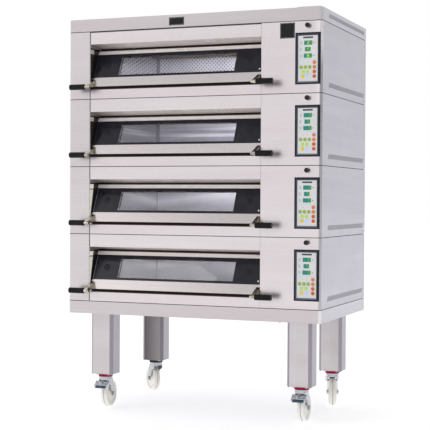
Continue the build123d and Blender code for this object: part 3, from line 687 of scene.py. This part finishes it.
def add_plate(bm, centre, right, up, out, width, height, thick, corner):
    """A rounded rectangular plate with a small bevel round its face."""
    bevel = min(thick * 0.5, corner * 0.5)

    def outline(grow, lift):
        points = []
        half_w, half_h, r = width / 2 + grow, height / 2 + grow, corner + grow
        for quarter, (sx, sy) in enumerate(((1, 1), (-1, 1), (-1, -1), (1, -1))):
            for i in range(CORNER_STEPS + 1):
                a = pi / 2 * (quarter + i / CORNER_STEPS)
                x = sx * (half_w - r) + r * cos(a)
                y = sy * (half_h - r) + r * sin(a)
                points.append(centre + right * x + up * y + out * lift)
        return points

    add_loops(bm, [outline(0, 0), outline(0, thick - bevel), outline(-bevel, thick)])


# ---------- door glass
X, Y, Z = Vector((1, 0, 0)), Vector((0, 1, 0)), Vector((0, 0, 1))
joint_place = {joint["name"]: Vector(joint["pos_m"]) for joint in frame["joints"] if "pos_m" in joint}
LEAF_IN = Vector((0, cos(LEAN), -sin(LEAN)))
LEAF_UP = Vector((0, sin(LEAN), cos(LEAN)))
CAP_PROFILE = [(0.018, 0.0), (0.018, 0.0004), (0.0172, 0.0007), (0.0085, 0.0007), (0.008, 0.0003),
               (0.002, 0.0003)]
SCREW_PROFILE = [(0.005, 0.0), (0.005, 0.0003), (0.0035, 0.0007), (0.001, 0.0007)]


def leaf_point(deck, x, depth, up):
    """A point in a door leaf: x across, depth inward, up along its face from its foot."""
    hinge = joint_place[f"door_{deck}_hinge"]
    foot = hinge - LEAF_IN * HINGE_IN - LEAF_UP * (LEAF_L - HINGE_UP)
    return Vector((x, foot.y, foot.z)) + LEAF_IN * depth + LEAF_UP * up


def door_glass(deck):
    """Outer pane, clear only in its window, the clear inner pane and the spacer between them."""
    low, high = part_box(f"door_glass_{deck}")
    left, right = low.x + WINDOW_LEFT, high.x - WINDOW_RIGHT
    foot, head = GLASS_LOW + WINDOW_FOOT, GLASS_HIGH - WINDOW_HEAD
    across, along = [low.x, left, right, high.x], [GLASS_LOW, foot, head, GLASS_HIGH]

    place = partial(leaf_point, deck)
    bm = bmesh.new()
    sheets = [[[bm.verts.new(place(x, depth, up)) for x in across] for up in along]
              for depth in GLASS_OUTER]
    for sheet in sheets:
        for j in range(3):
            for i in range(3):
                corners = (sheet[j][i], sheet[j][i + 1], sheet[j + 1][i + 1], sheet[j + 1][i])
                bm.faces.new(corners).material_index = 0 if i == j == 1 else 1
    outer, inner = sheets
    edge = [(0, 0), (0, 1), (0, 2), (0, 3), (1, 3), (2, 3),
            (3, 3), (3, 2), (3, 1), (3, 0), (2, 0), (1, 0)]
    for (j, i), (l, k) in zip(edge, edge[1:] + edge[:1]):
        bm.faces.new((outer[j][i], outer[l][k], inner[l][k], inner[j][i])).material_index = 1
    add_bar(bm, place, box_outline(low.x + STILE, high.x - STILE, GLASS_LOW, GLASS_HIGH), GLASS_INNER)
    panes = len(bm.faces)

    # the spacer between the panes: black at head and foot, bright at its sides
    front, back, wall, gap = GLASS_OUTER[1] + 0.0002, GLASS_INNER[0] - 0.0002, 0.007, 0.0005
    section = ((gap, front), (gap, back), (wall, back), (wall, front))
    rings = [[place(x + out_x * grow, depth, up + out_up * grow) for grow, depth in section]
             for x, up, out_x, out_up in ((left, foot, -1, -1), (right, foot, 1, -1),
                                          (right, head, 1, 1), (left, head, -1, 1))]
    add_loops(bm, rings + rings[:1], caps=False)
    for i, face in enumerate(list(bm.faces)[panes:]):
        face.material_index = 2 if i // 4 % 2 else 1

    # black gaskets behind the inner pane, beside the window
    gaskets = len(bm.faces)
    for x0, x1 in ((left - 0.002, left + 0.003), (right - 0.003, right + 0.002)):
        add_bar(bm, place, box_outline(x0, x1, foot, head), GASKET)
    paint_from(bm, gaskets, 1)
    bmesh.ops.remove_doubles(bm, verts=bm.verts, dist=MERGE)
    piece = make_piece(f"door_pane_{deck}", bm, f"door_{deck}", "door_glass",
                       glass_clear, print_black, spacer_metal)
    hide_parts(f"door_glass_{deck}")


def door_caps(deck):
    """Round black caps beside the window, and the bright screw near the lower right corner."""
    low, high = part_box(f"door_glass_{deck}")
    middle = (GLASS_LOW + GLASS_HIGH) / 2
    bm = bmesh.new()
    for x in (low.x + CAPS_IN[0], high.x - CAPS_IN[1]):
        centre = leaf_point(deck, x, GLASS_OUTER[0], middle)
        add_button(bm, centre, X, LEAF_UP, -LEAF_IN, CAP_PROFILE)
    make_piece(f"door_caps_{deck}", bm, f"door_{deck}", "door_glass", cap_black, smooth=True)
    bm = bmesh.new()
    centre = leaf_point(deck, high.x - SCREW_IN, GLASS_OUTER[0], GLASS_LOW + SCREW_UP)
    add_button(bm, centre, X, LEAF_UP, -LEAF_IN, SCREW_PROFILE, 20)
    make_piece(f"door_screw_{deck}", bm, f"door_{deck}", "pin_steel", turned, smooth=True)


def edge_glint():
    """The ground left edge of the outer glass: a grey-green painted glint on the lower doors, dark on the upper.
    """
    s = Shader("glass_edge_glint", Roughness=0.5)
    frost = s.noise(s.place(), 120.0)
    light = s.ramp(frost, 0.3, 0.7, (0.20, 0.20, 0.17), (0.32, 0.32, 0.27))
    s.colour(s.blend(s.past(s.axes()[2], DECK_Z[3]), light, (0.03, 0.03, 0.032)))
    return s.material


def glass_edge(deck):
    """A thin strip along the left edge of the outer glass."""
    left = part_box(f"door_glass_{deck}")[0].x
    bm = bmesh.new()
    outline = box_outline(left + 0.004, left + 0.0065, GLASS_LOW + 0.006, GLASS_HIGH - 0.006)
    add_bar(bm, partial(leaf_point, deck), outline, (GLASS_OUTER[0] + 0.001, GLASS_OUTER[0] - 0.0002))
    make_piece(f"door_glass_edge_{deck}", bm, f"door_{deck}", "door_glass", glass_glint)


glass_glint = edge_glint()
cap_black = moulded("cap_phenolic", (0.0095, 0.0095, 0.0130), 0.32, Specular_IOR_Level=0.2)
spacer_metal = plated("spacer_aluminium", (0.66, 0.68, 0.64), 0.35)
for deck in DECKS:
    door_glass(deck)
    door_caps(deck)
for deck in DECKS:
    glass_edge(deck)


# ---------- keypads
KEY_R = 0.0093
KEY_ROWS = (0.152, 0.129, 0.106, 0.083)
ORANGE_X = 0.6665
DISPLAYS = ((0.6345, 0.250, 3), (0.632, 0.218, 2), (0.633, 0.186, 3))  # x, z, digits
READINGS = {1: ("0", "5", "0"), 2: ("0", "5", "0"), 3: ("0", "5", "0"), 4: ("20", "15", "80")}
SEGMENTS = {"0": "abcdef", "1": "bc", "2": "abged", "5": "afgcd", "8": "abcdefg"}
DIGIT_W, DIGIT_H, DIGIT_STEP, BAR_W = 0.0085, 0.0145, 0.0132, 0.0022
WINDOW_T, CELL_FOOT, CELL_T = 0.0007, 0.0006, 0.0003  # display window, cell behind a digit
PRINT_T = 0.0002
KEY_PROFILE = [(KEY_R, 0.0), (KEY_R, 0.0005), (KEY_R * 0.93, 0.0010), (KEY_R * 0.6, 0.0014),
               (0.0008, 0.0015)]
OVERLAY_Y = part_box("keypad_overlays")[0].y


def pad_point(deck, x, z, lift=0.0):
    """A point in front of a deck's overlay."""
    return Vector((x, OVERLAY_Y - lift, DECK_Z[deck] + z))


def pad_plate(bm, deck, x, z, *sizes, lift=0.0):
    """A plate on a deck's overlay; sizes are its width, height, thickness and corner radius."""
    add_plate(bm, pad_point(deck, x, z, lift), X, Z, -Y, *sizes)


def keys(name, places, material):
    """Low domed keys at (x, z) on every deck's overlay."""
    bm = bmesh.new()
    for deck in DECKS:
        for x, z in places:
            add_button(bm, pad_point(deck, x, z), X, Z, -Y, KEY_PROFILE, 28)
    make_piece(name, bm, "oven", "keypad", material, smooth=True)


def segment_bar(bm, start, end, width):
    """One pointed bar of a digit, between two points of the display's plane."""
    along = (end - start).normalized()
    side = along.cross(Y)
    tip = along * width * 0.5
    flat = [start, start + tip + side * width / 2, end - tip + side * width / 2, end,
            end - tip - side * width / 2, start + tip - side * width / 2]
    add_loops(bm, [flat, [point - Y * PRINT_T for point in flat]])


def digit(bm, centre, value):
    """A seven-segment digit."""
    w, h = DIGIT_W / 2, DIGIT_H / 2
    corners = {"tl": (-w, h), "tr": (w, h), "ml": (-w, 0), "mr": (w, 0),
               "bl": (-w, -h), "br": (w, -h)}
    ends = {"a": ("tl", "tr"), "b": ("tr", "mr"), "c": ("mr", "br"), "d": ("bl", "br"),
            "e": ("ml", "bl"), "f": ("tl", "ml"), "g": ("ml", "mr")}
    for bar in SEGMENTS[value]:
        start, end = (centre + X * corners[key][0] + Z * corners[key][1] for key in ends[bar])
        segment_bar(bm, start, end, BAR_W)


def displays():
    """Teal windows with dim segments in the empty places; the last ones are lit, the very last faintly."""
    windows, cells, dim, lit, faint = (bmesh.new() for _ in range(5))
    for deck in DECKS:
        for (x, z, count), reading in zip(DISPLAYS, READINGS[deck]):
            pad_plate(windows, deck, x, z, 0.0135 * count + 0.002, 0.021, WINDOW_T, 0.0015)
            for place, value in enumerate(reading.rjust(count)):
                digit_x = x + (place - (count - 1) / 2) * DIGIT_STEP
                if value == " ":
                    digit(dim, pad_point(deck, digit_x, z, WINDOW_T), "8")
                else:
                    pad_plate(cells, deck, digit_x, z, 0.0128, 0.0196, CELL_T, 0.001, lift=CELL_FOOT)
                    target = faint if place == count - 1 else lit
                    digit(target, pad_point(deck, digit_x, z, CELL_FOOT + CELL_T), value)
    for name, bm, colour_name, colour, strength in (
            ("display_windows", windows, "display_teal", (0.0, 0.125, 0.105), 0.2),
            ("display_cells", cells, "display_green", (0.015, 0.150, 0.045), 0.2),
            ("display_dim", dim, "digit_dim", (0.0, 0.22, 0.19), 0.2),
            ("display_digits", lit, "digit_lime", (0.30, 0.60, 0.05), 0.55),
            ("display_last_digits", faint, "digit_green", (0.07, 0.36, 0.05), 0.35)):
        make_piece(name, bm, "oven", "keypad", glowing(colour_name, colour, strength))


def printed_marks():
    """Print on the overlay: pale fields and rules, small unit marks, a blank strip at its head."""
    pale, dark = bmesh.new(), bmesh.new()
    for deck in DECKS:
        for z in (0.1665, 0.0945):
            pad_plate(pale, deck, 0.631, z, 0.085, 0.0012, PRINT_T, 0.0005)
        for x, z, _ in DISPLAYS:
            pad_plate(pale, deck, x - 0.036, z, 0.012, 0.016, PRINT_T, 0.0015)
        for x in (0.612, 0.634):
            pad_plate(pale, deck, x, KEY_ROWS[0], 0.009, 0.0035, PRINT_T, 0.001)
        for x, z, count in DISPLAYS:
            if count == 3:
                pad_plate(dark, deck, x + 0.030, z, 0.006, 0.0040, PRINT_T, 0.0012)
        pad_plate(dark, deck, 0.634, 0.2765, 0.052, 0.0085, 0.0003, 0.0015)
    make_piece("keypad_rules", pale, "oven", "keypad", glowing("rule_grey", (0.44, 0.50, 0.48), 0.0))
    make_piece("keypad_strips", dark, "oven", "keypad",
               glowing("strip_charcoal", (0.045, 0.045, 0.048), 0.0))


displays()
printed_marks()
# The keys glow faintly, though they are no lamps: painted light.
for name, places, colour_name, colour in (
        ("keys_peach", [(ORANGE_X, z) for z in KEY_ROWS[:2]], "key_peach", (0.60, 0.17, 0.052)),
        ("keys_orange", [(ORANGE_X, z) for z in KEY_ROWS[2:]], "key_orange", (0.55, 0.080, 0.006)),
        ("keys_green", [(x, KEY_ROWS[1]) for x in (0.598, 0.6205, 0.643)], "key_olive",
         (0.27, 0.36, 0.055)),
        ("keys_lime", [(x, KEY_ROWS[2]) for x in (0.6085, 0.631)], "key_lime", (0.40, 0.60, 0.11)),
        ("keys_yellow", [(0.6075, KEY_ROWS[3])], "key_yellow", (0.68, 0.48, 0.025)),
        ("keys_blue", [(0.6305, KEY_ROWS[3])], "key_blue", (0.46, 0.56, 0.88))):
    keys(name, places, glowing(colour_name, colour, 0.02))


# ---------- plates, joints and slots
ROOF_SEAM = DECK_Z[4] + PITCH  # between the top deck and the hood
BODY_LOW, BODY_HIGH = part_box("side_panels")


def plate_borders():
    """Bright lines inset round the two blank plates."""
    plates = ((-0.122, -0.038, ROOF_SEAM + 0.012, ROOF_SEAM + 0.053, 0.0012),
              (0.488, 0.565, DECK_Z[4] + 0.276, DECK_Z[4] + 0.353, 0.0010))
    inset, line = 0.0035, 0.0008
    bm = bmesh.new()
    for x0, x1, z0, z1, proud in plates:
        y, wide, tall = FRONT - proud, x1 - x0 - 2 * inset, z1 - z0 - 2 * inset
        sides = [((x0 + x1) / 2, z, wide, line) for z in (z0 + inset, z1 - inset)]
        sides += [(x, (z0 + z1) / 2, line, tall) for x in (x0 + inset, x1 - inset)]
        for x, z, width, height in sides:
            add_plate(bm, Vector((x, y, z)), X, Z, -Y, width, height, PRINT_T, 0.0005)
    make_piece("plate_lines", bm, "oven", "plate_black", turned)


def slot_shade_strips():
    """Strips of painted shade inside the body, behind the ventilation slots of its sides."""
    hood_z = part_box("hood")[0].z
    rows = [(DECK_Z[k] + SLOT_LOW_UP, DECK_Z[k] + SLOT_HIGH_UP) for k in DECKS]
    bm = bmesh.new()
    for z0, z1 in rows + [(hood_z + 0.020, hood_z + 0.050)]:
        for side in (BODY_LOW.x + 0.0045, BODY_HIGH.x - 0.0055):
            add_bar(bm, lambda y, x, z: Vector((x, y, z)),
                    box_outline(FRONT + 0.105, FRONT + 0.808, z0, z1), (side, side + 0.001))
    make_piece("slot_shade_strips", bm, "oven", "steel_side", slot_shade_colour)


def joint_shade_strips():
    """Strips of painted shade between decks and beside the left column; the one over the top door is wider."""
    left, right, back = BODY_LOW.x, BODY_HIGH.x, BODY_HIGH.y
    bevel, proud, sunk, tall = 0.013, 0.0003, 0.0008, 0.0018
    bm = bmesh.new()

    def outline(grow, z):
        front, slope = FRONT - grow, bevel - 0.41 * grow
        return [Vector((x, y, z)) for x, y in (
            (left - grow, back), (left - grow, FRONT + slope), (left + slope, front),
            (right - slope, front), (right + grow, FRONT + slope), (right + grow, back))]

    def strip(x0, x1, z0, z1, y0):
        add_bar(bm, lambda x, y, z: Vector((x, y, z)), box_outline(x0, x1, z0, z1),
                (y0, FRONT + 0.001))

    for z in [DECK_Z[k] for k in DECKS] + [ROOF_SEAM]:
        section = [outline(-sunk, z - tall), outline(proud, z - tall), outline(proud, z + tall),
                   outline(-sunk, z + tall)]
        add_loops(bm, [list(ring) for ring in zip(*section)])
    strip(OPEN_LEFT, OPEN_RIGHT, ROOF_SEAM - 0.0060, ROOF_SEAM + 0.0018, FRONT - 0.0006)
    for deck in DECKS:
        for z0, z1 in ((0.003, 0.049), (0.293, 0.357)):
            strip(OPEN_LEFT - 0.0023, OPEN_LEFT + 0.0023, DECK_Z[deck] + z0, DECK_Z[deck] + z1,
                  FRONT + 0.0002)
    make_piece("joint_shade_strips", bm, "oven", "seal_black", joint_shade_colour)


# colour of the painted shade behind the slots
slot_shade_colour = moulded("painted_slot_shade", (0.050, 0.047, 0.062), 0.7)
# colour of the painted shade in the joints between decks
joint_shade_colour = moulded("painted_joint_shade", (0.028, 0.020, 0.018), 0.55)
plate_borders()
slot_shade_strips()
joint_shade_strips()


# ---------- casters
# Half of a wheel's section as (radius, distance from its middle), from its bore to its tread
WHEEL_SECTION = [
    (0.0062, 0.0215), (0.0175, 0.0218), (0.0188, 0.0205), (0.0196, 0.0170), (0.0215, 0.0138),
    (0.0250, 0.0124), (0.0380, 0.0112), (0.0510, 0.0110), (0.0556, 0.0124), (0.0580, 0.0160),
    (0.0602, 0.0186), (0.0640, 0.0198), (0.0680, 0.0188), (0.0712, 0.0160), (0.0734, 0.0118),
    (0.0746, 0.0062), (0.0749, 0.0018), (0.0743, 0.0012)]

# Outlines of a brake pedal in millimetres: along the trail from the swivel, and above the floor
HEEL = [(-28, 152), (-37, 148), (-37, 145.4), (-28, 149.4)]
TREAD = [(-36, 151), (-42, 148), (-72, 125), (-72, 122), (-41, 144), (-36, 147)]
FLANGE = [(-36, 153), (-42, 151), (-74, 127), (-75, 121), (-70, 120), (-46, 134), (-36, 142)]
TONGUE = [(-31, 154.4), (-57, 151.4), (-61, 149.6), (-60, 148.8), (-56, 150), (-31, 152.6)]
SHOE = [(-27, 145), (-20, 145), (-16, 138), (-24, 136), (-33, 140)]
TOE_PAD = [(-64, 131.6), (-76, 122.6), (-77.5, 119), (-76, 116), (-73, 116.5), (-65, 124)]
PIVOT = (-24, 148)
PIVOT_TUBE = [(0.0031, -0.022), (0.006, -0.022), (0.006, 0.022), (0.0031, 0.022), (0.0031, -0.022)]


def trail_direction(angle):
    return Vector((cos(radians(angle)), sin(radians(angle)), 0))


def wheel(name, trail_angle):
    """Turned nylon wheel: rounded tread with its mould line, dished webs, hub with a bearing cap."""
    swivel = joint_place[f"swivel_{name}"]
    trail = trail_direction(trail_angle)
    centre = Vector((swivel.x, swivel.y, WHEEL_R)) + trail * TRAIL
    axis = Z.cross(trail).normalized()
    profile = [(r, -h) for r, h in WHEEL_SECTION] + [(r, h) for r, h in reversed(WHEEL_SECTION)]
    bm = bmesh.new()
    rings = [ring_points(centre, trail, Z, axis, r, h, WHEEL_STEPS) for r, h in profile]
    add_loops(bm, rings + rings[:1], caps=False)
    parting = (len(WHEEL_SECTION) - 1) * WHEEL_STEPS
    for face in list(bm.faces)[parting:parting + WHEEL_STEPS]:
        face.material_index = 1
    bmesh.ops.remove_doubles(bm, verts=bm.verts, dist=MERGE)
    piece = make_piece(f"turned_wheel_{name}", bm, f"wheel_{name}", "nylon", finishes["nylon"], grime,
                       smooth=True)
    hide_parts(f"caster_wheel_{name}")


def brake_pedal(name, trail_angle):
    """Pressed brake pedal: ribbed tread plate between flanges, painted toe pad, pivot tube, shoe."""
    swivel = joint_place[f"swivel_{name}"]
    trail = trail_direction(trail_angle)
    across = Z.cross(trail).normalized()
    bm = bmesh.new()

    def place(x, y, z):
        return Vector((swivel.x, swivel.y, 0)) + (trail * x + across * y + Z * z) * 0.001

    def prism(outline, y0, y1):
        add_bar(bm, place, outline, (y0, y1))

    prism(HEEL, -20.5, 20.5)
    prism(TREAD, -38, 38)
    for y in (-38, 36):
        prism(FLANGE, y, y + 2)
    for x, z in ((-45, 147.4), (-53, 141.3), (-61, 135.1)):
        for y in (-34, -11, 12):
            prism([(x, z), (x - 3, z - 2.3), (x - 4, z - 5), (x + 1, z - 1.5)], y, y + 22)
    prism(TONGUE, -7, 7)
    prism(SHOE, -14, 14)
    pivot = place(PIVOT[0], 0, PIVOT[1])
    add_loops(bm, [ring_points(pivot, trail, Z, across, r, h, 24) for r, h in PIVOT_TUBE], caps=False)
    painted = len(bm.faces)
    prism(TOE_PAD, -30, 30)
    for x, z in ((-48.2, 143.9), (-56.2, 137.8)):
        for y in (-33, -9, 15):
            prism([(x, z), (x - 4.6, z - 3.5), (x - 4.6, z - 4.6), (x, z - 1.1)], y, y + 18)
    paint_from(bm, painted, 1)
    bmesh.ops.remove_doubles(bm, verts=bm.verts, dist=MERGE)
    piece = make_piece(f"pressed_pedal_{name}", bm, f"brake_{name}", "zinc",
                       pedal_zinc, finishes["brake_blue"])
    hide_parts(f"caster_brake_{name}")


pedal_zinc = plated("pedal_zinc", (0.80, 0.83, 0.87), 0.30)
grime = moulded("tread_grime", (0.13, 0.105, 0.085), 0.6)
for caster, trail_angle in CASTERS.items():
    wheel(caster, trail_angle)
    if f"caster_brake_{caster}" in nodes:
        brake_pedal(caster, trail_angle)


# ---------- floor, light and camera
def floor():
    """A plain pale floor, which lights up a little so that it stays near white."""
    s = Shader("studio_floor", Roughness=0.9, Emission_Strength=0.42, Emission_Color=(1.0, 1.0, 1.0))
    tone = s.noise(s.place(), 0.8, 3.0)
    s.colour(s.ramp(tone, 0.3, 0.7, (0.88, 0.88, 0.88), (0.91, 0.91, 0.91)))
    bm = bmesh.new()
    bmesh.ops.create_grid(bm, x_segments=8, y_segments=8, size=40.0)
    mesh = bpy.data.meshes.new("studio_floor")
    bm.to_mesh(mesh)
    bm.free()
    mesh.materials.append(s.material)
    plane = bpy.data.objects.new("studio_floor", mesh)
    plane.location.z = -0.0005
    bpy.context.scene.collection.objects.link(plane)


def surroundings():
    """A white studio, greyer towards the right and overhead; plain white where the camera sees it."""
    world = bpy.data.worlds.new("studio")
    bpy.context.scene.world = world
    world.use_nodes = True
    tree = world.node_tree

    def node(kind, **inputs):
        made = tree.nodes.new(kind)
        for key, value in inputs.items():
            made.inputs[key.replace("_", " ")].default_value = value
        return made

    parts = node("ShaderNodeSeparateXYZ")
    tree.links.new(node("ShaderNodeTexCoord").outputs["Generated"], parts.inputs[0])
    shade = node("ShaderNodeMath")
    shade.operation = "MULTIPLY"
    for slot, (axis, start, darkest) in enumerate((("X", 0.15, 0.50), ("Z", 0.25, 0.75))):
        fade = node("ShaderNodeMapRange", From_Min=start, From_Max=1.0, To_Min=1.0, To_Max=darkest)
        fade.interpolation_type = "SMOOTHSTEP"
        tree.links.new(parts.outputs[axis], fade.inputs["Value"])
        tree.links.new(fade.outputs[0], shade.inputs[slot])
    background = tree.nodes["Background"]
    background.inputs["Color"].default_value = (0.985, 0.985, 1.0, 1)
    tree.links.new(shade.outputs[0], background.inputs["Strength"])
    plain = node("ShaderNodeBackground", Color=(1, 1, 1, 1))
    mix = node("ShaderNodeMixShader")
    sources = (node("ShaderNodeLightPath").outputs["Is Camera Ray"], background.outputs[0],
               plain.outputs[0])
    for slot, source in enumerate(sources):
        tree.links.new(source, mix.inputs[slot])
    tree.links.new(mix.outputs[0], tree.nodes["World Output"].inputs["Surface"])


def area_light(name, place, target, size, power, colour):
    """A rectangular lamp turned towards its target."""
    data = bpy.data.lights.new(name, "AREA")
    data.shape = "RECTANGLE"
    data.size, data.size_y = size
    data.energy = power
    data.color = colour
    light = bpy.data.objects.new(name, data)
    light.location = place
    light.rotation_euler = (Vector(target) - Vector(place)).to_track_quat("-Z", "Y").to_euler()
    bpy.context.scene.collection.objects.link(light)
    return light


LAMP_SIZE, LAMP_POWER, LAMP_COLOUR = (0.78, 0.03), 1.45, (0.97, 0.965, 1.0)


def chamber_lights():
    """A soft lamp over each hearth, so that the chambers read through their glass."""
    low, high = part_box("baking_chambers")
    middle = (low.x + high.x) / 2
    for deck in DECKS:
        place = (middle, FRONT + 0.165, DECK_Z[deck] + 0.262)
        target = (middle, FRONT + 0.60, DECK_Z[deck] + 0.12)
        lamp = area_light(f"chamber_light_{deck}", place, target, LAMP_SIZE, LAMP_POWER, LAMP_COLOUR)
        lamp.visible_camera = False


def camera():
    """A long lens, to the right of the oven and turned back towards it."""
    yaw, pitch, roll = radians(21.854), radians(0.767), radians(0.333)
    place = (2.410, -6.051, 1.147)
    data = bpy.data.cameras.new("view")
    data.sensor_width = 36.0
    data.lens = 99.43
    data.clip_end = 200.0
    view = bpy.data.objects.new("view", data)
    view.matrix_world = (Matrix.Translation(place) @ Matrix.Rotation(yaw, 4, "Z")
                         @ Matrix.Rotation(pi / 2 - pitch, 4, "X") @ Matrix.Rotation(roll, 4, "Z"))
    bpy.context.scene.collection.objects.link(view)
    bpy.context.scene.camera = view


floor()
surroundings()
area_light("key", (-4.2, -4.4, 4.8), (0, 0, 1.2), (3.2, 2.4), 22.0, (1.0, 0.985, 0.97))
chamber_lights()
camera()
bpy.context.scene.view_settings.view_transform = "Standard"
